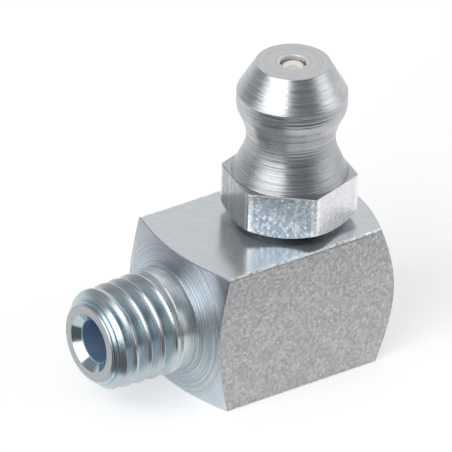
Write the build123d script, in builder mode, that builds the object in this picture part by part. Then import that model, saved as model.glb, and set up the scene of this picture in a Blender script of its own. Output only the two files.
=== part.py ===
from build123d import *
from math import atan, cos, degrees, radians, sin, sqrt, tan
import os

# Right-angle grease nipple: a square-bar elbow with a taper-threaded stub, and a nipple
# head pressed into its top. The head holds a check ball on its seat with a long spring.
# Millimetres. The head's axis is Z, the stub points along -X, and the elbow stands on Z = 0.

# Elbow: 9 mm bar, turned to a shallow cone in front and a steeper one behind
bar_width = 9.0
bar_height = 8.8
bar_edge = 0.12
block_front = 7.4
block_rear = 3.35
front_cone = 20
rear_cone = 32
rear_face_r = 4.2
turned_rise = 0.15
cone_edge = 0.06

# Stub: plain shank, then a right-hand taper thread, 28 threads to the inch, 1 in 16
shank_length = 1.05
shank_fillet = 0.12
thread_start_r = 3.02
thread_end_r = 2.3
thread_lead = 0.8
thread_pitch = 0.907
thread_length = 3.95
thread_depth = 0.6
thread_taper = 16
thread_half_angle = 30
thread_root = 0.1
crest_chamfer = 0.08
crest_angle = 45
run_in = 0.75
run_in_past_lead = 0.38
run_out = 0.55
groove_turn = 76
lead_ring_cut = 0.08
lead_ring_start = 0.14
lead_ring_pitch = 0.27
lead_ring_count = 2

# Grease way: drilled along the stub, with a countersunk mouth
outlet_r = 1.3
outlet_mouth_r = 1.77
outlet_mouth_angle = 90
outlet_past_head = 1.2
drill_point = 118

# Socket for the head, drilled down into the grease way
socket_r = 2.5
socket_gap = 0.3
socket_lead = 0.2
press_interference = 0.01

# Nipple head: hexagon with a chamfered underside, flared neck, coupler cone
spigot_length = 3.0
spigot_lead = 0.35
hex_across = 7.0
hex_height = 3.0
hex_corner = 0.3
hex_edge = 0.05
hex_turn = 17.2
hex_seat_r = 2.95
hex_chamfer = 30
flare_rise = 0.81
flare_angle = 25
neck_depth = 0.64
neck_round = 2.5
back_taper = 24
back_round = 1.2
band_r = 3.25
band_length = 0.98
band_edge = 0.08
cone_length = 1.85
cone_angle = 60
head_edge = 0.06

# Inside the head: inlet, ball seat, bore, and the lip rolled in under the spring
inlet_r = 0.8
inlet_depth = 0.3
inlet_edge = 0.05
seat_angle = 90
bore_r = 1.4
lip_thickness = 0.4

# Check ball and spring, sized by the bore and the play in it
ball_play = 0.21
seat_clearance = 0.03
spring_wire_r = 0.16
spring_play = 0.29
spring_coils = 11
spring_clearance = 0.02
spring_hold = 0.1

# Places that follow from the sizes above
turn_z = bar_height / 2 + turned_rise
turned_axis = Axis((0, 0, turn_z), (1, 0, 0))
corner_r = sqrt(bar_width**2 + bar_height**2) / 2
taper_slope = 1 / (2 * thread_taper)
shank_r = thread_start_r + (thread_length + run_out - thread_lead) * taper_slope
cone_x = -block_front - (corner_r - shank_r) * tan(radians(front_cone))
shank_x = cone_x - shank_length
stub_x = shank_x - run_out - thread_length
rear_x = block_rear + (corner_r - rear_face_r) * tan(radians(rear_cone))
beyond = corner_r + 1
front_rim_x = -block_front + (beyond - corner_r) * tan(radians(front_cone))
rear_rim_x = block_rear - (beyond - corner_r) * tan(radians(rear_cone))
hex_top_z = bar_height + hex_height
spigot_r = socket_r + press_interference
spigot_z = bar_height - spigot_length
socket_z = spigot_z - socket_gap
lip_z = spigot_z + lip_thickness

# Head outline: two straight tapers that meet behind the rounded neck, then the band and cone
neck_r = band_r - neck_depth
flare_base_r = neck_r + flare_rise
neck_turn = radians((flare_angle + back_taper) / 2)
neck_corner_r = neck_r - neck_round * (1 / cos(neck_turn) - 1)
neck_corner_z = hex_top_z + (flare_base_r - neck_corner_r) / tan(radians(flare_angle))
band_bottom_z = neck_corner_z + (band_r - neck_corner_r) / tan(radians(back_taper))
band_top_z = band_bottom_z + band_length
head_top_z = band_top_z + cone_length
top_r = band_r - cone_length * tan(radians(cone_angle / 2))

# Ball seat, ball and spring, one below the other
ball_r = bore_r - ball_play
spring_mean_r = bore_r - spring_play - spring_wire_r
lip_r = spring_mean_r - spring_hold
seat_half = radians(seat_angle / 2)
seat_top_z = head_top_z - inlet_depth
seat_bottom_z = seat_top_z - (bore_r - inlet_r) / tan(seat_half)
ball_z = seat_top_z + inlet_r / tan(seat_half) - (ball_r + seat_clearance) / sin(seat_half)
spring_contact = ball_r + spring_wire_r + spring_clearance
spring_z = lip_z + spring_wire_r
spring_height = ball_z - sqrt(spring_contact**2 - spring_mean_r**2) - spring_z


def drill_tip(radius):
    """Height of the cone that a twist drill leaves at the end of its hole."""
    return radius / tan(radians(drill_point / 2))


def thread_path(start, length, radius, slope):
    """Helix of the thread from one place along the stub, as a radius that grows by a slope."""
    path = Helix(
        thread_pitch,
        length,
        radius,
        center=(start, 0, turn_z),
        direction=(1, 0, 0),
        cone_angle=degrees(atan(slope)),
    )
    return path.rotate(turned_axis, groove_turn + 360 * (start - stub_x) / thread_pitch)


def groove_plane(path):
    """Plane across the start of the groove's path, with its X pointing away from the axis."""
    start = path @ 0
    outward = start - Vector(start.X, 0, turn_z)
    return Plane(origin=start, x_dir=outward, z_dir=path % 0)


# Thread groove: cut deeper over the lead chamfer, then along the taper, then out of the shank
flank_slope = tan(radians(thread_half_angle))
crest_slope = tan(radians(crest_angle))
chamfer_mouth = thread_root + 2 * (thread_depth - crest_chamfer) * flank_slope
mouth_rise = thread_pitch / 2 * taper_slope
groove_mouth = chamfer_mouth + 2 * (crest_chamfer + mouth_rise) * crest_slope
groove_clear = thread_depth / 2
full_x = stub_x + thread_lead + run_in_past_lead
full_r = thread_start_r + run_in_past_lead * taper_slope
end_x = stub_x + thread_length
end_r = full_r + (end_x - full_x) * taper_slope
lead_slope = (thread_start_r - thread_end_r) / thread_lead
start_x = full_x - run_in
start_r = thread_start_r - (run_in - run_in_past_lead) * lead_slope + thread_depth
groove_in = thread_path(start_x, run_in, start_r, (full_r - start_r) / run_in)
groove = thread_path(full_x, end_x - full_x, full_r, taper_slope)
groove_out = thread_path(end_x, run_out, end_r, thread_depth / run_out)

# Elbow body
with BuildPart() as elbow_body:
    with BuildSketch(Plane.YZ.offset(stub_x)):
        Rectangle(bar_width, bar_height, align=(Align.CENTER, Align.MIN))
    extrude(amount=rear_x - stub_x)
    fillet(elbow_body.edges().filter_by(Axis.X), bar_edge)
    with BuildSketch(Plane.XZ) as turned:
        with BuildLine():
            Polyline(
                (stub_x, turn_z),
                (stub_x, turn_z + thread_end_r),
                (stub_x + thread_lead, turn_z + thread_start_r),
                (shank_x, turn_z + shank_r),
                (cone_x, turn_z + shank_r),
                (front_rim_x, turn_z + beyond),
                (rear_rim_x, turn_z + beyond),
                (rear_x, turn_z + rear_face_r),
                (rear_x, turn_z),
                close=True,
            )
        make_face()
        shank_corner = turned.vertices().sort_by_distance((cone_x, turn_z + shank_r))[0]
        fillet(shank_corner, shank_fillet)
    revolve(axis=turned_axis, mode=Mode.INTERSECT)
    fillet(elbow_body.edges().filter_by(GeomType.HYPERBOLA), cone_edge)
    # Grease way with its countersunk mouth and drill point
    mouth_x = stub_x + (outlet_mouth_r - outlet_r) / tan(radians(outlet_mouth_angle / 2))
    with BuildSketch(Plane.XZ):
        with BuildLine():
            Polyline(
                (stub_x, turn_z),
                (stub_x, turn_z + outlet_mouth_r),
                (mouth_x, turn_z + outlet_r),
                (outlet_past_head, turn_z + outlet_r),
                (outlet_past_head + drill_tip(outlet_r), turn_z),
                close=True,
            )
        make_face()
    revolve(axis=turned_axis, mode=Mode.SUBTRACT)
    # Socket for the head's spigot, whose drill point breaks into the grease way
    with BuildSketch(Plane.XZ):
        with BuildLine():
            Polyline(
                (0, bar_height),
                (socket_r + socket_lead, bar_height),
                (socket_r, bar_height - socket_lead),
                (socket_r, socket_z),
                (0, socket_z - drill_tip(socket_r)),
                close=True,
            )
        make_face()
    revolve(axis=Axis.Z, mode=Mode.SUBTRACT)
    # Fine rings turned on the lead chamfer
    lead_start = (stub_x, 0, turn_z + thread_end_r)
    lead_along = (thread_lead, 0, thread_start_r - thread_end_r)
    with BuildSketch(Plane(origin=lead_start, x_dir=lead_along, z_dir=(0, -1, 0))):
        with Locations(*[(lead_ring_start + n * lead_ring_pitch, 0) for n in range(lead_ring_count)]):
            Rectangle(lead_ring_cut, lead_ring_cut, rotation=45)
    revolve(axis=turned_axis, mode=Mode.SUBTRACT)
    # Thread groove, with chamfered crests
    for path in (groove_in, groove, groove_out):
        with BuildSketch(groove_plane(path)):
            with BuildLine():
                Polyline(
                    (-thread_depth, -thread_root / 2),
                    (-thread_depth, thread_root / 2),
                    (-crest_chamfer, chamfer_mouth / 2),
                    (mouth_rise, groove_mouth / 2),
                    (groove_clear, groove_mouth / 2),
                    (groove_clear, -groove_mouth / 2),
                    (mouth_rise, -groove_mouth / 2),
                    (-crest_chamfer, -chamfer_mouth / 2),
                    close=True,
                )
            make_face()
        sweep(path=path, is_frenet=True, mode=Mode.SUBTRACT)

# Nipple head, turned from hexagon bar in one piece
with BuildPart() as nipple_head:
    with BuildSketch(Plane.XY.offset(bar_height)):
        RegularPolygon(hex_across / 2, 6, major_radius=False, rotation=hex_turn)
    extrude(amount=hex_height)
    fillet(nipple_head.edges().filter_by(Axis.Z), hex_corner)
    chamfer(nipple_head.faces().sort_by(Axis.Z)[-1].edges(), hex_edge)
    # Chamfered underside, which leaves a round seat on the elbow
    with BuildSketch(Plane.XZ):
        with BuildLine():
            Polyline(
                (0, bar_height),
                (hex_seat_r, bar_height),
                (hex_across, bar_height + (hex_across - hex_seat_r) * tan(radians(hex_chamfer))),
                (hex_across, hex_top_z),
                (0, hex_top_z),
                close=True,
            )
        make_face()
    revolve(axis=Axis.Z, mode=Mode.INTERSECT)
    # Spigot below, and flare, neck, back taper, band and coupler cone above
    with BuildSketch(Plane.XZ) as profile:
        with BuildLine():
            Polyline(
                (0, spigot_z),
                (spigot_r - spigot_lead, spigot_z),
                (spigot_r, spigot_z + spigot_lead),
                (spigot_r, hex_top_z),
                (flare_base_r, hex_top_z),
                (neck_corner_r, neck_corner_z),
                (band_r, band_bottom_z),
                (band_r, band_top_z),
                (top_r, head_top_z),
                (0, head_top_z),
                close=True,
            )
        make_face()
        corners = profile.vertices()
        fillet(corners.sort_by_distance((neck_corner_r, neck_corner_z))[0], neck_round)
        corners = profile.vertices()
        fillet(corners.sort_by_distance((band_r, band_bottom_z))[0], back_round)
        corners = profile.vertices()
        fillet(corners.sort_by_distance((band_r, band_top_z))[0], band_edge)
        corners = profile.vertices()
        fillet(corners.sort_by_distance((top_r, head_top_z))[0], head_edge)
    revolve(axis=Axis.Z)
    # Inlet, ball seat and spring bore, open at the bottom through the rolled lip
    with BuildSketch(Plane.XZ) as way:
        with BuildLine():
            Polyline(
                (0, spigot_z),
                (lip_r, spigot_z),
                (lip_r, lip_z),
                (bore_r, lip_z),
                (bore_r, seat_bottom_z),
                (inlet_r, seat_top_z),
                (inlet_r, head_top_z - inlet_edge),
                (inlet_r + inlet_edge, head_top_z),
                (0, head_top_z),
                close=True,
            )
        make_face()
    revolve(axis=Axis.Z, mode=Mode.SUBTRACT)

# Check ball, held a hair below its seat
with BuildPart() as check_ball:
    with Locations((0, 0, ball_z)):
        Sphere(ball_r)

# Ball spring, from the rolled lip up to the ball
with BuildPart() as ball_spring:
    coil = Helix(spring_height / spring_coils, spring_height, spring_mean_r, center=(0, 0, spring_z))
    with BuildSketch(Plane(origin=coil @ 0, x_dir=(1, 0, 0), z_dir=coil % 0)):
        Circle(spring_wire_r)
    sweep(path=coil, is_frenet=True)

os.makedirs("parts", exist_ok=True)
elbow_body.part.label = "elbow_body"
nipple_head.part.label = "nipple_head"
check_ball.part.label = "check_ball"
ball_spring.part.label = "ball_spring"
export_step(elbow_body.part, "parts/elbow_body.step")
export_step(nipple_head.part, "parts/nipple_head.step")
export_step(check_ball.part, "parts/check_ball.step")
export_step(ball_spring.part, "parts/ball_spring.step")
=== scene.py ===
# %% [markdown]
# A right-angle grease nipple: a square-bar elbow with a taper-threaded stub, and a nipple head
# with a check ball and spring pressed into its top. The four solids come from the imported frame
# and keep their shape and place. This script gives them their zinc-plated steel, the light and
# the camera. Every piece of the real nipple is in the frame, so nothing is modelled here.

# %% Load the frame
import bpy
import math
from mathutils import Matrix, Vector

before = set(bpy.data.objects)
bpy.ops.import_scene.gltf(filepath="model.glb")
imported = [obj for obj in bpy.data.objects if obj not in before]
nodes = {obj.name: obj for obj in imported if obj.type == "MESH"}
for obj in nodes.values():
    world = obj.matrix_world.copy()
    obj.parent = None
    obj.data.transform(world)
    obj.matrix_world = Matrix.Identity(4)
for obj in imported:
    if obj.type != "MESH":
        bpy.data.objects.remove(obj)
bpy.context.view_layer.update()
bpy.ops.object.select_all(action="DESELECT")
scene = bpy.context.scene
scene.view_settings.view_transform = "Standard"
for name, node in nodes.items():
    print(name, len(node.data.polygons), "faces")

# %% [markdown]
# The camera stands far off with a long lens, as for a catalogue picture: the bar's parallel edges
# stay nearly parallel. It is placed by its direction and distance from a point inside the nipple,
# because those are the numbers that a photographer would change.

# %% Camera
MM = 0.001
picture_width = 452
camera_azimuth = -36.66
camera_elevation = 29.54
camera_roll = 1.71
camera_distance = 1000 * MM
pixels_per_mm = 17.218
aim = Vector((0, 0, 8 * MM))
aim_right = 3.6 * MM
aim_up = 0.02 * MM


def direction(azimuth, elevation):
    """Unit vector from the nipple: azimuth 0 is -Y and grows towards +X, elevation grows up."""
    a = math.radians(azimuth)
    e = math.radians(elevation)
    return Vector((math.sin(a) * math.cos(e), -math.cos(a) * math.cos(e), math.sin(e)))


back = direction(camera_azimuth, camera_elevation)
level_right = direction(camera_azimuth + 90, 0)
level_up = back.cross(level_right)
roll = math.radians(camera_roll)
right = math.cos(roll) * level_right + math.sin(roll) * level_up
up = math.cos(roll) * level_up - math.sin(roll) * level_right
camera_data = bpy.data.cameras.new("camera")
camera = bpy.data.objects.new("camera", camera_data)
scene.collection.objects.link(camera)
camera_data.sensor_width = 36
camera_data.lens = camera_data.sensor_width * pixels_per_mm * camera_distance / MM / picture_width
camera_data.clip_start = 0.01
camera_data.clip_end = 10
place = aim - aim_right * right - aim_up * up + camera_distance * back
camera.matrix_world = Matrix.Translation(place) @ Matrix((right, up, back)).transposed().to_4x4()
scene.camera = camera
print("lens", round(camera_data.lens), "mm")

# %% [markdown]
# Materials are built from nodes in code. These helpers add a node and join its sockets, so that
# each material below reads as a short list of steps. The same materials could be drawn in the shader
# editor, but code shows every step and number in one place.

# %% Node helpers
def fill(tree, socket, entry):
    """Links a socket to another socket, or sets its number or colour."""
    if isinstance(entry, bpy.types.NodeSocket):
        tree.links.new(entry, socket)
    elif socket.type == "RGBA" and len(entry) == 3:
        socket.default_value = (*entry, 1)
    else:
        socket.default_value = entry


def add(tree, kind, settings=None, **values):
    """Adds a shader node, sets its properties, and fills its inputs by name, or i0, i1 by number."""
    node = tree.nodes.new("ShaderNode" + kind)
    for name, value in (settings or {}).items():
        setattr(node, name, value)
    for name, value in values.items():
        numbered = name[0] == "i" and name[1:].isdigit()
        key = int(name[1:]) if numbered else name.replace("_", " ")
        fill(tree, node.inputs[key], value)
    return node


def math_of(tree, operation, first, second=0.0, third=0.0):
    """One Math node's result."""
    return add(tree, "Math", {"operation": operation}, i0=first, i1=second, i2=third).outputs[0]


def ramp_of(tree, value, low, high, at_low=0.0, at_high=1.0):
    """A value turned from low..high to at_low..at_high, smoothly and held at both ends."""
    settings = {"interpolation_type": "SMOOTHSTEP"}
    node = add(tree, "MapRange", settings, i0=value, i1=low, i2=high, i3=at_low, i4=at_high)
    return node.outputs[0]


def mix_of(tree, factor, first, second):
    """Two colours mixed by a factor."""
    node = add(tree, "Mix", {"data_type": "RGBA"}, i0=factor, i6=first, i7=second)
    return node.outputs[2]


def new_material(name):
    """A material with a Principled shader, its tree and that shader."""
    material = bpy.data.materials.new(name)
    material.use_nodes = True
    return material, material.node_tree, material.node_tree.nodes["Principled BSDF"]


# %% [markdown]
# The nipple stands on white paper in a pale room. Polished metal has no colour of its own to show:
# it shows the room. So rays that come off the metal see the same white paper and white backdrop as
# the camera does, and beside them what else stands in a studio: grey walls, a pale ceiling, three
# softboxes, and the dark side where the photographer is. That dark side gives the head and the
# thread their stripes. The paper lies a hair below the nipple's base, so that the two faces do not
# share a plane, and it glows a little for the camera and for metal, to stay as white as the backdrop.

# %% Floor
floor_size = 4
floor_drop = 0.02 * MM
floor_white = (0.9, 0.9, 0.9)
floor_glow = 0.4
paper_roughness = 0.9
bpy.ops.mesh.primitive_plane_add(size=floor_size, location=(0, 0, -floor_drop))
floor = bpy.context.object
floor.name = "floor"
floor_paper, tree, shader = new_material("floor_paper")
shader.inputs["Base Color"].default_value = (*floor_white, 1)
shader.inputs["Roughness"].default_value = paper_roughness
shader.inputs["Specular IOR Level"].default_value = 0
shader.inputs["Emission Color"].default_value = (1, 1, 1, 1)


def seen_directly(tree):
    """1 for rays from the camera and rays that metal or glass sends on, 0 for the light's rays."""
    path = tree.nodes.new("ShaderNodeLightPath")
    seen = math_of(tree, "MAXIMUM", path.outputs["Is Camera Ray"], path.outputs["Is Glossy Ray"])
    return math_of(tree, "MAXIMUM", seen, path.outputs["Is Transmission Ray"])


glow = math_of(tree, "MULTIPLY", seen_directly(tree), floor_glow)
fill(tree, shader.inputs["Emission Strength"], glow)
floor.data.materials.append(floor_paper)
floor.select_set(False)
print("floor", floor_size, "m across")

# %% [markdown]
# A photographer lays grey cards around shiny work, just outside the picture, so that its faces do
# not wash out. These two are hidden from the camera and cast no shadow: only metal sees them. One
# lies in front, and one beside the stub's tip. A grey patch in the room's own colour would do for
# faces that look at the walls, but a card is near, so each face sees it at a different place.

# %% Grey cards
card_lift = 0.2 * MM
card_grey = (0.2, 0.2, 0.2)


def grey_card(name, turn, start, across, depth, sideways=0):
    """A card on the floor: turned from the camera, and starting at a distance from the nipple."""
    ahead = direction(camera_azimuth + turn, 0)
    beside = direction(camera_azimuth + turn + 90, 0)
    centre = ahead * (start + depth / 2) + beside * sideways
    bpy.ops.mesh.primitive_plane_add(size=1, location=(centre.x, centre.y, card_lift))
    card = bpy.context.object
    card.name = name
    card.scale = (across, depth, 1)
    card.rotation_euler.z = math.radians(camera_azimuth + turn)
    card.visible_camera = False
    card.visible_diffuse = False
    card.visible_shadow = False
    paper, tree, shader = new_material(name + "_paper")
    shader.inputs["Base Color"].default_value = (*card_grey, 1)
    shader.inputs["Roughness"].default_value = paper_roughness
    shader.inputs["Specular IOR Level"].default_value = 0
    card.data.materials.append(paper)
    card.select_set(False)
    print(name, "starts", round(start / MM), "mm away")


grey_card("front_card", turn=24, start=22 * MM, across=300 * MM, depth=300 * MM)
grey_card("tip_card", turn=-17, start=14.5 * MM, across=136 * MM, depth=100 * MM, sideways=-66 * MM)

# %% [markdown]
# The room is the world's colour. Masks made from the ray's direction paint the backdrop, the dark
# side and the ceiling on grey walls. Only rays that come off metal or glass see this room: the
# camera sees white, and plain surfaces are lit by even white light. Walls could be built around the
# nipple instead, but they would have to be kept out of the picture and out of its shadows.

# %% Room
room_light = 0.42
wall_grey = (0.33, 0.335, 0.345)
dark_grey = (0.21, 0.225, 0.24)
ceiling_grey = (0.78, 0.8, 0.82)
backdrop_white = (1, 1, 1)
top_blur = 8
world = bpy.data.worlds.new("room")
scene.world = world
world.use_nodes = True
tree = world.node_tree
background = tree.nodes["Background"]
ray = add(tree, "TexCoord").outputs["Generated"]
flat_ray = add(tree, "VectorMath", {"operation": "MULTIPLY"}, i0=ray, i1=(1, 1, 0)).outputs[0]
unit_ray = add(tree, "VectorMath", {"operation": "NORMALIZE"}, i0=flat_ray).outputs[0]
ray_height = add(tree, "SeparateXYZ", i0=ray).outputs["Z"]


def toward(azimuth, half_width, blur):
    """1 where the room is seen within half_width degrees of an azimuth, fading over blur degrees."""
    axis = direction(azimuth, 0)
    dot = add(tree, "VectorMath", {"operation": "DOT_PRODUCT"}, i0=unit_ray, i1=axis).outputs["Value"]
    rim = math.cos(math.radians(half_width + blur))
    core = math.cos(math.radians(half_width - blur))
    return ramp_of(tree, dot, rim, core)


def above(elevation, blur):
    """1 where the room is seen above an elevation, fading over blur degrees."""
    start = math.sin(math.radians(elevation - blur))
    stop = math.sin(math.radians(elevation + blur))
    return ramp_of(tree, ray_height, start, stop)


def patch_of_room(azimuth, half_width, side_blur, top):
    """1 where the room is seen around an azimuth, from the floor up to an elevation."""
    sides = toward(azimuth, half_width, side_blur)
    below_top = math_of(tree, "SUBTRACT", 1.0, above(top, top_blur))
    return math_of(tree, "MULTIPLY", sides, below_top)


backdrop = patch_of_room(camera_azimuth + 174, half_width=56, side_blur=12, top=60)
dark_side = patch_of_room(camera_azimuth + 24, half_width=36, side_blur=8, top=50)
seen_room = mix_of(tree, backdrop, wall_grey, backdrop_white)
seen_room = mix_of(tree, dark_side, seen_room, dark_grey)
seen_room = mix_of(tree, above(elevation=61, blur=7), seen_room, ceiling_grey)
path = add(tree, "LightPath")
by_metal = math_of(tree, "MAXIMUM", path.outputs["Is Glossy Ray"], path.outputs["Is Transmission Ray"])
fill(tree, background.inputs["Color"], mix_of(tree, by_metal, backdrop_white, seen_room))
strength = ramp_of(tree, seen_directly(tree), 0.0, 1.0, room_light, 1.0)
fill(tree, background.inputs["Strength"], strength)
print("room light", room_light)

# %% [markdown]
# The left softbox draws the bright stripe on the head, the low one lights the thread's flanks that
# face the stub's tip, and the right one lights the side away from the stub. An area lamp casts soft
# light and also shows in the metal as a square, as a real softbox does.

# %% Softboxes
lamp_distance = 500 * MM


def softbox(name, azimuth, elevation, size, brightness):
    """A square lamp that faces the nipple. Its brightness is what a mirror would show of it."""
    away = direction(azimuth, elevation)
    data = bpy.data.lights.new(name, "AREA")
    data.shape = "SQUARE"
    data.size = size
    data.energy = brightness * math.pi * size**2
    lamp = bpy.data.objects.new(name, data)
    scene.collection.objects.link(lamp)
    lamp.location = aim + away * lamp_distance
    lamp.rotation_mode = "QUATERNION"
    lamp.rotation_quaternion = away.to_track_quat("Z", "Y")
    print(name, "at", round(azimuth), round(elevation))


softbox("softbox_left", camera_azimuth - 37, elevation=28, size=450 * MM, brightness=2.4)
softbox("softbox_low", camera_azimuth - 68, elevation=8, size=170 * MM, brightness=2.2)
softbox("softbox_right", camera_azimuth + 88, elevation=16, size=340 * MM, brightness=1.3)

# %% [markdown]
# Every face of this nipple was either turned on a lathe or is the surface of the drawn bar it was
# cut from. A lathe tool leaves fine rings, one for each turn of the work, and they are never quite
# even. A one-dimensional noise along the feed gives rings of uneven height, and a sine gives the
# regular feed mark. The group takes the distance along the profile, so that the same group serves
# a face, a cone or a cylinder.

# %% Turning marks
def new_group(name, inputs, outputs):
    """A node group with named sockets, and its start and end nodes."""
    group = bpy.data.node_groups.new(name, "ShaderNodeTree")
    for in_out, sockets in (("INPUT", inputs), ("OUTPUT", outputs)):
        for label, kind in sockets.items():
            group.interface.new_socket(label, in_out=in_out, socket_type="NodeSocket" + kind)
    start = group.nodes.new("NodeGroupInput")
    end = group.nodes.new("NodeGroupOutput")
    return group, start, end


marks, start, end = new_group(
    "turning_marks",
    {"Along": "Float", "Feed": "Float", "Unevenness": "Float"},
    {"Height": "Float", "Streak": "Float"},
)
turns = math_of(marks, "DIVIDE", start.outputs["Along"], start.outputs["Feed"])
line = {"noise_dimensions": "1D"}
wander = add(marks, "TexNoise", line, W=turns, Scale=0.35, Detail=1.0).outputs[0]
shifted = math_of(marks, "MULTIPLY_ADD", wander, start.outputs["Unevenness"], turns)
ridge = math_of(marks, "SINE", math_of(marks, "MULTIPLY", shifted, 2 * math.pi))
fine = add(marks, "TexNoise", line, W=turns, Scale=3.7, Detail=3.0, Roughness=0.7).outputs[0]
fill(marks, end.inputs["Height"], math_of(marks, "MULTIPLY_ADD", ridge, 0.3, fine))
streak = add(marks, "TexNoise", line, W=turns, Scale=0.9, Detail=4.0, Roughness=0.8).outputs[0]
fill(marks, end.inputs["Streak"], ramp_of(marks, streak, 0.35, 0.65))
print("group", marks.name)

# %% [markdown]
# The drawn bar is not smooth: its skin is pickled and rolled, and zinc grows on it in fine grains.
# A noise gives the grains their light and dark, cells give them their relief, and a few cells
# get a painted glint. Which cells do is chosen by the random colour that each cell has.

# %% Drawn skin
skin, start, end = new_group(
    "drawn_skin",
    {"Place": "Vector", "Grain": "Float"},
    {"Height": "Float", "Speck": "Float", "Sparkle": "Float"},
)
place = start.outputs["Place"]
grain = start.outputs["Grain"]
fine = add(skin, "TexNoise", Vector=place, Scale=grain, Detail=3.0, Roughness=0.65).outputs[0]
cells = add(skin, "TexVoronoi", Vector=place, Scale=grain)
distance = cells.outputs["Distance"]
fill(skin, end.inputs["Height"], math_of(skin, "MULTIPLY_ADD", distance, 0.5, fine))
fill(skin, end.inputs["Speck"], ramp_of(skin, fine, 0.34, 0.66))
chosen = ramp_of(skin, add(skin, "SeparateXYZ", i0=cells.outputs["Color"]).outputs["X"], 0.78, 0.82)
point = ramp_of(skin, distance, 0.1, 0.5, 1.0, 0.0)
fill(skin, end.inputs["Sparkle"], math_of(skin, "MULTIPLY", chosen, point))
print("group", skin.name)

# %% [markdown]
# The steel is zinc plated and blue passivated. The passive film is so thin that it tints the metal
# like oil on water: a cold blue with paler patches. A slow noise drifts between the two tints.

# %% Passivated zinc
zinc, start, end = new_group(
    "passivated_zinc",
    {"Place": "Vector", "Drift": "Float", "Cold": "Color", "Pale": "Color"},
    {"Tint": "Color"},
)
slow = add(zinc, "TexNoise", Vector=start.outputs["Place"], Scale=start.outputs["Drift"], Detail=2.0)
patch = ramp_of(zinc, slow.outputs[0], 0.36, 0.64)
tint = mix_of(zinc, patch, start.outputs["Cold"], start.outputs["Pale"])
fill(zinc, end.inputs["Tint"], tint)
print("group", zinc.name)

# %% [markdown]
# The metals read where a point lies on its piece. Object coordinates give that in metres. Here they
# become millimetres from a chosen centre, so that the numbers in a material are sizes on a drawing.
# Masks could be painted on by hand, but these follow the shape by themselves.

# %% Shared readings
def use(tree, group, **values):
    """Places a node group in a material and fills its inputs."""
    node = tree.nodes.new("ShaderNodeGroup")
    node.node_tree = group
    for name, value in values.items():
        fill(tree, node.inputs[name], value)
    return node


def place_in_mm(tree, centre):
    """The point on the piece in millimetres from a centre, and its three numbers."""
    coordinates = add(tree, "TexCoord").outputs["Object"]
    scaled = add(tree, "VectorMath", {"operation": "SCALE"}, i0=coordinates, i3=1 / MM).outputs[0]
    moved = add(tree, "VectorMath", {"operation": "SUBTRACT"}, i0=scaled, i1=centre).outputs[0]
    parts = add(tree, "SeparateXYZ", i0=moved)
    return moved, parts.outputs["X"], parts.outputs["Y"], parts.outputs["Z"]


def length_of(tree, first, second):
    """Distance from an axis, by the point's two coordinates across it."""
    square = math_of(tree, "MULTIPLY", first, first)
    return math_of(tree, "SQRT", math_of(tree, "MULTIPLY_ADD", second, second, square))


def piece_box(name):
    """Low and high corner of a piece, in millimetres."""
    corners = [v.co / MM for v in nodes[name].data.vertices]
    low = Vector([min(c[i] for c in corners) for i in range(3)])
    high = Vector([max(c[i] for c in corners) for i in range(3)])
    return low, high


elbow_low, elbow_high = piece_box("elbow_body")
head_low, head_high = piece_box("nipple_head")
print("elbow", [round(v, 2) for v in (*elbow_low, *elbow_high)])
print("head", [round(v, 2) for v in (*head_low, *head_high)])

# %% [markdown]
# The elbow has two skins. Its four flats are drawn bar: the sides are grainy, the top is rolled
# smoother. Its stub, both shallow cones and the rear face were turned, so they carry rings around
# the stub's axis. Which of the two a point belongs to follows from the shape: the point is turned
# if it lies on one of the two cones or beyond them. Two materials on two sets of faces would need
# the faces picked out by hand. All sizes here are in millimetres.

# %% Elbow metal
turn_z = 4.55
bar_width = elbow_high.y - elbow_low.y
bar_height = elbow_high.z
corner_r = math.hypot(bar_width, bar_height) / 2
block_front = 7.4
block_rear = 3.35
front_slope = math.tan(math.radians(20))
rear_slope = math.tan(math.radians(32))
outlet_r = 1.3
mouth_r = 1.77
mouth_start = -12.9
stub_start = -8.8
shank_end = -9.8
stub_end = elbow_low.x
groove_r = 2.55
crest_r = 2.95
rings_fade_r = 4.2
skin_blend = 0.03
side_skin = 0.1

bar_metal, tree, shader = new_material("plated_bar_metal")
spot, x, y, z = place_in_mm(tree, (0, 0, turn_z))
r = length_of(tree, y, z)
inward = math_of(tree, "SUBTRACT", corner_r, r)
front_gap = math_of(tree, "MULTIPLY_ADD", inward, front_slope, math_of(tree, "ADD", x, block_front))
rear_gap = math_of(tree, "SUBTRACT", math_of(tree, "MULTIPLY_ADD", inward, rear_slope, block_rear), x)
gap = math_of(tree, "MINIMUM", front_gap, rear_gap)
turned = ramp_of(tree, gap, skin_blend, 2 * skin_blend, 1.0, 0.0)
from_side = math_of(tree, "SUBTRACT", bar_width / 2, math_of(tree, "ABSOLUTE", y))
from_top = math_of(tree, "SUBTRACT", bar_height - turn_z, z)
side = ramp_of(tree, from_side, 0.02, side_skin, 1.0, 0.0)
print("corners turned beyond", -block_front, "and", block_rear)

# %% [markdown]
# The sides are grey with light and dark grains. The top is paler, with faint streaks along the bar.
# A broken painted highlight runs along its top edges, and a line of painted shade runs below them.

# %% Colours of the flats
grain_dark = (0.38, 0.38, 0.383)
grain_light = (0.53, 0.53, 0.537)
cloud_grey = (0.36, 0.36, 0.375)
painted_glint_grey = (0.62, 0.63, 0.65)
top_dark = (0.5, 0.54, 0.565)
top_light = (0.56, 0.58, 0.595)
edge_glint_white = (0.95, 0.95, 0.96)
edge_shade_dark = (0.16, 0.16, 0.165)
lip_depth = 0.1
lip_width = 0.15
edge_shade_depth = 0.2

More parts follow.
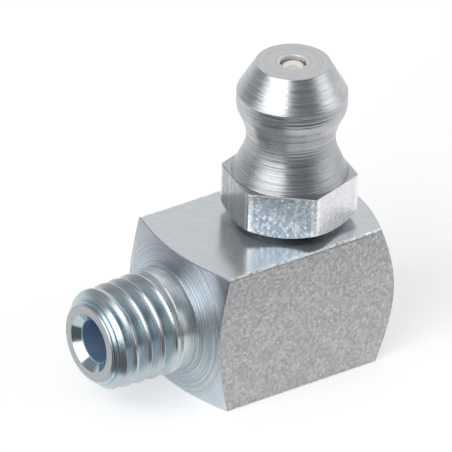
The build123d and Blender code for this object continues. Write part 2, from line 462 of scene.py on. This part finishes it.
grain = use(tree, skin, Place=spot, Grain=4.5)
grainy = mix_of(tree, grain.outputs["Speck"], grain_dark, grain_light)
cloud = add(tree, "TexNoise", Vector=spot, Scale=0.9, Detail=3.0).outputs[0]
cloudy = ramp_of(tree, cloud, 0.35, 0.65, 0.0, 0.3)
grainy = mix_of(tree, cloudy, grainy, cloud_grey)
# Painted highlight: a few grains get bright glints.
grainy = mix_of(tree, grain.outputs["Sparkle"], grainy, painted_glint_grey)
drawn = add(tree, "VectorMath", {"operation": "MULTIPLY"}, i0=spot, i1=(0.3, 1, 1)).outputs[0]
rolled = use(tree, skin, Place=drawn, Grain=5.0)
smooth = mix_of(tree, rolled.outputs["Speck"], top_dark, top_light)
flat_tint = mix_of(tree, side, smooth, grainy)
on_lip = ramp_of(tree, from_top, lip_depth / 2, lip_depth, 1.0, 0.0)
near_side = ramp_of(tree, from_side, lip_width, lip_width + 0.06, 1.0, 0.0)
in_edge = math_of(tree, "MULTIPLY", on_lip, near_side)
# Painted highlight: a broken bright line along the top edges, for the glint that they catch.
edge_glint_noise = add(tree, "TexNoise", Vector=spot, Scale=2.6, Detail=3.0, Roughness=0.7).outputs[0]
edge_glint = math_of(tree, "MULTIPLY", in_edge, ramp_of(tree, edge_glint_noise, 0.36, 0.48))
# Painted shade: a dark line just below the top edges.
below_lip = ramp_of(tree, from_top, lip_depth - 0.04, lip_depth)
above_grain = ramp_of(tree, from_top, lip_depth + 0.02, edge_shade_depth, side, 0.0)
edge_shade = math_of(tree, "MULTIPLY", below_lip, above_grain)
flat_tint = mix_of(tree, math_of(tree, "MULTIPLY", edge_shade, 0.5), flat_tint, edge_shade_dark)
flat_tint = mix_of(tree, edge_glint, flat_tint, edge_glint_white)
print("flats", grain_dark, "to", grain_light)

# %% [markdown]
# The turned faces are colder. Rings show less towards the block's corners, and painted shade darkens
# the cone towards its upper edge. The stub's grooves are bluer than its crests, the shank behind the
# thread is milky in patches, its end is a ring of plain grey, and the drilling is blue.

# %% Colours of the turned faces
cold_zinc = (0.54, 0.61, 0.66, 1)
pale_zinc = (0.62, 0.66, 0.68, 1)
streak_dark = (0.37, 0.43, 0.48)
crest_tint = (0.52, 0.56, 0.575)
groove_tint = (0.47, 0.59, 0.65)
milky = (0.68, 0.75, 0.77)
end_grey = (0.42, 0.42, 0.43)
cone_painted_shade = (0.33, 0.35, 0.41)
bore_blue = (0.4, 0.54, 0.7)
shade_start = 1.6
shade_full = 4.0

tint = use(tree, zinc, Place=spot, Drift=0.5, Cold=cold_zinc, Pale=pale_zinc)
along = math_of(tree, "SUBTRACT", r, math_of(tree, "ABSOLUTE", x))
rings = use(tree, marks, Along=along, Feed=0.16, Unevenness=1.5)
near_centre = ramp_of(tree, r, rings_fade_r, rings_fade_r + 1.2, 1.0, 0.25)
streak = math_of(tree, "MULTIPLY", rings.outputs["Streak"], near_centre)
turned_tint = mix_of(tree, streak, tint.outputs["Tint"], streak_dark)
on_stub = ramp_of(tree, x, stub_start - 0.1, stub_start, 1.0, 0.0)
in_groove = ramp_of(tree, r, groove_r, crest_r, 1.0, 0.0)
stub_tint = mix_of(tree, in_groove, crest_tint, groove_tint)
turned_tint = mix_of(tree, math_of(tree, "MULTIPLY", on_stub, 0.8), turned_tint, stub_tint)
on_block = ramp_of(tree, x, stub_start, stub_start + 0.1)
off_block = math_of(tree, "SUBTRACT", 1.0, on_block)
on_shank = ramp_of(tree, x, shank_end - 0.3, shank_end, 0.0, off_block)
film = add(tree, "TexNoise", Vector=spot, Scale=1.3, Detail=3.0).outputs[0]
film = math_of(tree, "MULTIPLY", on_shank, ramp_of(tree, film, 0.35, 0.6, 0.2, 0.8))
turned_tint = mix_of(tree, film, turned_tint, milky)
on_end = ramp_of(tree, x, stub_end + 0.03, stub_end + 0.05, 0.8, 0.0)
turned_tint = mix_of(tree, on_end, turned_tint, end_grey)
# Painted shade: the turned faces on the block side darken towards the upper edge.
painted_cone_shade = math_of(tree, "MULTIPLY", on_block, ramp_of(tree, z, shade_start, shade_full, 0.0, 0.8))
turned_tint = mix_of(tree, painted_cone_shade, turned_tint, cone_painted_shade)
in_bore = ramp_of(tree, r, outlet_r + 0.02, outlet_r + 0.06, 1.0, 0.0)
turned_tint = mix_of(tree, in_bore, turned_tint, bore_blue)
fill(tree, shader.inputs["Base Color"], mix_of(tree, turned, flat_tint, turned_tint))
shader.inputs["Metallic"].default_value = 1
print("turned faces", cold_zinc[:3], "to", pale_zinc[:3])

# %% [markdown]
# Gloss and relief follow the same masks. The countersink at the stub's mouth is the glossiest face,
# and the drilling the roughest. The relief is a bump and not real shape: rings and grains of a few
# hundredths of a millimetre would cost millions of faces.

# %% Elbow gloss and relief
in_mouth = ramp_of(tree, x, mouth_start, mouth_start + 0.1, 1.0, 0.0)
in_mouth = math_of(tree, "MULTIPLY", in_mouth, ramp_of(tree, r, mouth_r, mouth_r + 0.03, 1.0, 0.0))
grainy_rough = ramp_of(tree, grain.outputs["Speck"], 0.0, 1.0, 0.45, 0.34)
smooth_rough = ramp_of(tree, rolled.outputs["Speck"], 0.0, 1.0, 0.18, 0.26)
flat_rough = ramp_of(tree, side, 0.0, 1.0, smooth_rough, grainy_rough)
ring_rough = ramp_of(tree, streak, 0.0, 1.0, 0.2, 0.34)
ring_rough = ramp_of(tree, in_mouth, 0.0, 1.0, ring_rough, 0.15)
ring_rough = ramp_of(tree, in_bore, 0.0, 1.0, ring_rough, 0.65)
fill(tree, shader.inputs["Roughness"], ramp_of(tree, turned, 0.0, 1.0, flat_rough, ring_rough))
ring_depth = ramp_of(tree, x, stub_start - 0.5, stub_start - 0.2, 0.22, 1.0)
near_centre = ramp_of(tree, r, rings_fade_r, rings_fade_r + 1.4, 1.0, 0.1)
ring_depth = math_of(tree, "MULTIPLY", ring_depth, near_centre)
grainy_bump = math_of(tree, "MULTIPLY", grain.outputs["Height"], 1.8)
smooth_bump = math_of(tree, "MULTIPLY", rolled.outputs["Height"], 0.02)
flat_bump = ramp_of(tree, side, 0.0, 1.0, smooth_bump, grainy_bump)
ring_bump = math_of(tree, "MULTIPLY", rings.outputs["Height"], ring_depth)
relief = ramp_of(tree, turned, 0.0, 1.0, flat_bump, ring_bump)
bump = add(tree, "Bump", Height=relief, Strength=1.0, Distance=0.018 * MM)
fill(tree, shader.inputs["Normal"], bump.outputs["Normal"])
print(bar_metal.name, "corner radius", round(corner_r, 2))

# %% [markdown]
# The head was turned from hexagon bar: rings around the vertical axis everywhere but on the six
# flats, which keep the drawn skin. Where a point lies tells the two apart, as on the elbow: it is on
# the hexagon if it is low enough and far enough out. The flats count anticlockwise from above.

# %% Head metal
hex_top = bar_height + 3.0
head_top = head_high.z
band_top = 17.04
neck_top = 15.4
hex_turn = 17.2
hex_half = 3.5
hex_wall_r = 3.3
hex_corner_r = 3.86
seam_z = 14.52
inlet_r = 0.86
flat_blend = 0.03
shaded_flat = 2
lit_flat = 4

head_metal, tree, shader = new_material("plated_head_metal")
spot, x, y, z = place_in_mm(tree, (0, 0, 0))
r = length_of(tree, x, y)
on_hex = ramp_of(tree, z, hex_top - 0.02, hex_top, 1.0, 0.0)
hex_wall = math_of(tree, "MULTIPLY", on_hex, ramp_of(tree, r, hex_wall_r, hex_wall_r + 0.1))


def on_flats(tree, flats):
    """1 where the point lies on one of some flats of the hexagon."""
    reach = -hex_half
    for flat in flats:
        a = math.radians(hex_turn + 60 * (flat + 0.5))
        axis = (math.cos(a), math.sin(a), 0)
        dot = add(tree, "VectorMath", {"operation": "DOT_PRODUCT"}, i0=spot, i1=axis).outputs["Value"]
        reach = math_of(tree, "MAXIMUM", reach, dot)
    return ramp_of(tree, reach, hex_half - 2 * flat_blend, hex_half - flat_blend)


print("hexagon up to", round(hex_top, 2))

# %% [markdown]
# The flats have grains with painted glints, and fine lines along the bar painted bright as highlights.
# One flat is painted darker as shade, and one paler and warm as light. Corners and chamfers are
# painted bright as highlights.

# %% Colours of the hexagon
grain_dark = (0.42, 0.48, 0.54)
grain_light = (0.56, 0.63, 0.69)
painted_glint_pale = (0.93, 0.95, 0.97)
painted_shade_grey = (0.38, 0.39, 0.4)
painted_light_pale = (0.83, 0.82, 0.84)
corner_highlight_white = (0.92, 0.93, 0.95)
line_highlight_white = (0.9, 0.92, 0.94)
chamfer_highlight_pale = (0.8, 0.82, 0.81)

grain = use(tree, skin, Place=spot, Grain=3.8)
flat_tint = mix_of(tree, grain.outputs["Speck"], grain_dark, grain_light)
# Painted highlight: a few grains get bright glints.
flat_tint = mix_of(tree, grain.outputs["Sparkle"], flat_tint, painted_glint_pale)
# Painted shade: one flat is darkened to grey.
on_shaded_flat = on_flats(tree, [shaded_flat])
flat_tint = mix_of(tree, math_of(tree, "MULTIPLY", on_shaded_flat, 0.8), flat_tint, painted_shade_grey)
# Painted light: one flat is lightened to a warm pale.
on_lit_flat = on_flats(tree, [lit_flat])
flat_tint = mix_of(tree, math_of(tree, "MULTIPLY", on_lit_flat, 0.85), flat_tint, painted_light_pale)
# Painted highlight: the rounded corners are lightened.
corner_highlight = ramp_of(tree, r, hex_corner_r, hex_corner_r + 0.06, 0.0, 0.7)
flat_tint = mix_of(tree, corner_highlight, flat_tint, corner_highlight_white)
# Drawing lines along the bar, painted bright as highlights.
around = math_of(tree, "ARCTAN2", y, x)
lines = add(tree, "TexNoise", {"noise_dimensions": "1D"}, W=around, Scale=9.0, Detail=3.0, Roughness=0.8)
drawn_line_highlight = ramp_of(tree, lines.outputs[0], 0.62, 0.72, 0.0, 0.5)
flat_tint = mix_of(tree, drawn_line_highlight, flat_tint, line_highlight_white)
# Painted highlight: the chamfers are lightened.
chamfer = math_of(tree, "SUBTRACT", 1.0, on_flats(tree, range(6)))
flat_tint = mix_of(tree, chamfer, flat_tint, chamfer_highlight_pale)
print("flats", grain_dark, "to", grain_light)

# %% [markdown]
# The turned part is a greyer zinc than the elbow's. The neck, between the hexagon and the band, is
# painted darker as shade, and a pale line is painted on it as a highlight where two passes of the tool
# meet. The end face has rings of its own, and the inlet is painted pale inside as reflected light.

# %% Colours of the neck, cone and end face
cold_zinc = (0.47, 0.495, 0.52, 1)
pale_zinc = (0.55, 0.55, 0.555, 1)
neck_painted_shade = (0.36, 0.37, 0.385)
seam_highlight_pale = (0.7, 0.78, 0.82)
face_light = (0.6, 0.6, 0.6)
face_dark = (0.5, 0.51, 0.52)
inlet_painted_light = (0.9, 0.89, 0.88)

tint = use(tree, zinc, Place=spot, Drift=0.5, Cold=cold_zinc, Pale=pale_zinc)
neck = math_of(tree, "SUBTRACT", ramp_of(tree, z, neck_top - 0.5, neck_top, 1.0, 0.0), on_hex)
# Painted shade: the neck between the hexagon and the band is darkened.
turned_tint = mix_of(tree, math_of(tree, "MULTIPLY", neck, 0.6), tint.outputs["Tint"], neck_painted_shade)
from_seam = math_of(tree, "ABSOLUTE", math_of(tree, "SUBTRACT", z, seam_z))
# Painted highlight: a pale line where two passes of the tool meet.
turned_tint = mix_of(tree, ramp_of(tree, from_seam, 0.03, 0.08, 0.6, 0.0), turned_tint, seam_highlight_pale)
faced = ramp_of(tree, z, head_top - 0.04, head_top - 0.01)
face_marks = use(tree, marks, Along=r, Feed=0.2, Unevenness=1.5)
face_tint = mix_of(tree, face_marks.outputs["Streak"], face_light, face_dark)
turned_tint = mix_of(tree, faced, turned_tint, face_tint)
near_axis = ramp_of(tree, r, inlet_r, inlet_r + 0.04, 1.0, 0.0)
# Painted reflection: the inlet's wall is lightened for the bright light it reflects.
turned_tint = mix_of(tree, math_of(tree, "MULTIPLY", near_axis, 0.8), turned_tint, inlet_painted_light)
fill(tree, shader.inputs["Base Color"], mix_of(tree, hex_wall, turned_tint, flat_tint))
shader.inputs["Metallic"].default_value = 1
print("turned faces", cold_zinc[:3], "to", pale_zinc[:3])

# %% [markdown]
# The tool fed faster along the neck than over the coupler cone, so the neck's rings are coarser and
# deeper. The end face and the chamfers are the dullest of the outer faces.

# %% Head gloss and relief
along = math_of(tree, "SUBTRACT", z, r)
coarse = use(tree, marks, Along=along, Feed=0.27, Unevenness=1.2)
close = use(tree, marks, Along=along, Feed=0.11, Unevenness=2.0)
on_top = ramp_of(tree, z, band_top, band_top + 0.8)
close_height = math_of(tree, "MULTIPLY", close.outputs["Height"], 0.35)
neck_height = ramp_of(tree, neck, 0.0, 1.0, 1.0, 1.4)
coarse_height = math_of(tree, "MULTIPLY", coarse.outputs["Height"], neck_height)
ring_height = ramp_of(tree, on_top, 0.0, 1.0, coarse_height, close_height)
flat_rough = ramp_of(tree, grain.outputs["Speck"], 0.0, 1.0, 0.36, 0.2)
flat_rough = ramp_of(tree, chamfer, 0.0, 1.0, flat_rough, 0.5)
ring_rough = ramp_of(tree, coarse.outputs["Streak"], 0.0, 1.0, 0.22, 0.34)
ring_rough = ramp_of(tree, faced, 0.0, 1.0, ring_rough, 0.42)
in_inlet = math_of(tree, "MULTIPLY", near_axis, on_top)
ring_rough = ramp_of(tree, in_inlet, 0.0, 1.0, ring_rough, 0.6)
fill(tree, shader.inputs["Roughness"], ramp_of(tree, hex_wall, 0.0, 1.0, ring_rough, flat_rough))
grain_depth = ramp_of(tree, on_shaded_flat, 0.0, 1.0, 1.0, 0.4)
flat_bump = math_of(tree, "MULTIPLY", grain.outputs["Height"], grain_depth)
relief = ramp_of(tree, hex_wall, 0.0, 1.0, ring_height, flat_bump)
bump = add(tree, "Bump", Height=relief, Strength=1.0, Distance=0.012 * MM)
fill(tree, shader.inputs["Normal"], bump.outputs["Normal"])
print(head_metal.name, "end face at", round(head_top, 2))

# %% [markdown]
# The check ball is hard steel, polished and not plated, with a faint haze; its warm tint is painted
# reflection. The spring is drawn wire, darker and duller. Both are the same recipe with other numbers,
# so one function makes them.

# %% Ball and spring metal
def bare_steel(name, scale, dark, light, glossy, dull):
    """Bare steel with a haze: its colour and its roughness drift together."""
    material, tree, shader = new_material(name)
    spot = place_in_mm(tree, (0, 0, 0))[0]
    haze = add(tree, "TexNoise", Vector=spot, Scale=scale, Detail=3.0).outputs[0]
    fill(tree, shader.inputs["Base Color"], mix_of(tree, haze, dark, light))
    fill(tree, shader.inputs["Roughness"], ramp_of(tree, haze, 0.3, 0.7, glossy, dull))
    shader.inputs["Metallic"].default_value = 1
    print(name, "roughness", glossy, "to", dull)
    return material


# The ball's warm colours are painted reflection.
ball_metal = bare_steel("ball_steel_metal", 2.0, (0.72, 0.68, 0.62), (0.78, 0.76, 0.74), 0.12, 0.22)
wire_metal = bare_steel("spring_wire_metal", 6.0, (0.4, 0.41, 0.42), (0.56, 0.56, 0.56), 0.25, 0.4)

# %% [markdown]
# Each piece wears one metal. The slots that came with the frame are cleared first, so that nothing
# of the plain colours is left.

# %% Dress the pieces
for name, metal in (
    ("elbow_body", bar_metal),
    ("nipple_head", head_metal),
    ("check_ball", ball_metal),
    ("ball_spring", wire_metal),
):
    nodes[name].data.materials.clear()
    nodes[name].data.materials.append(metal)
    print(name, "in", metal.name)
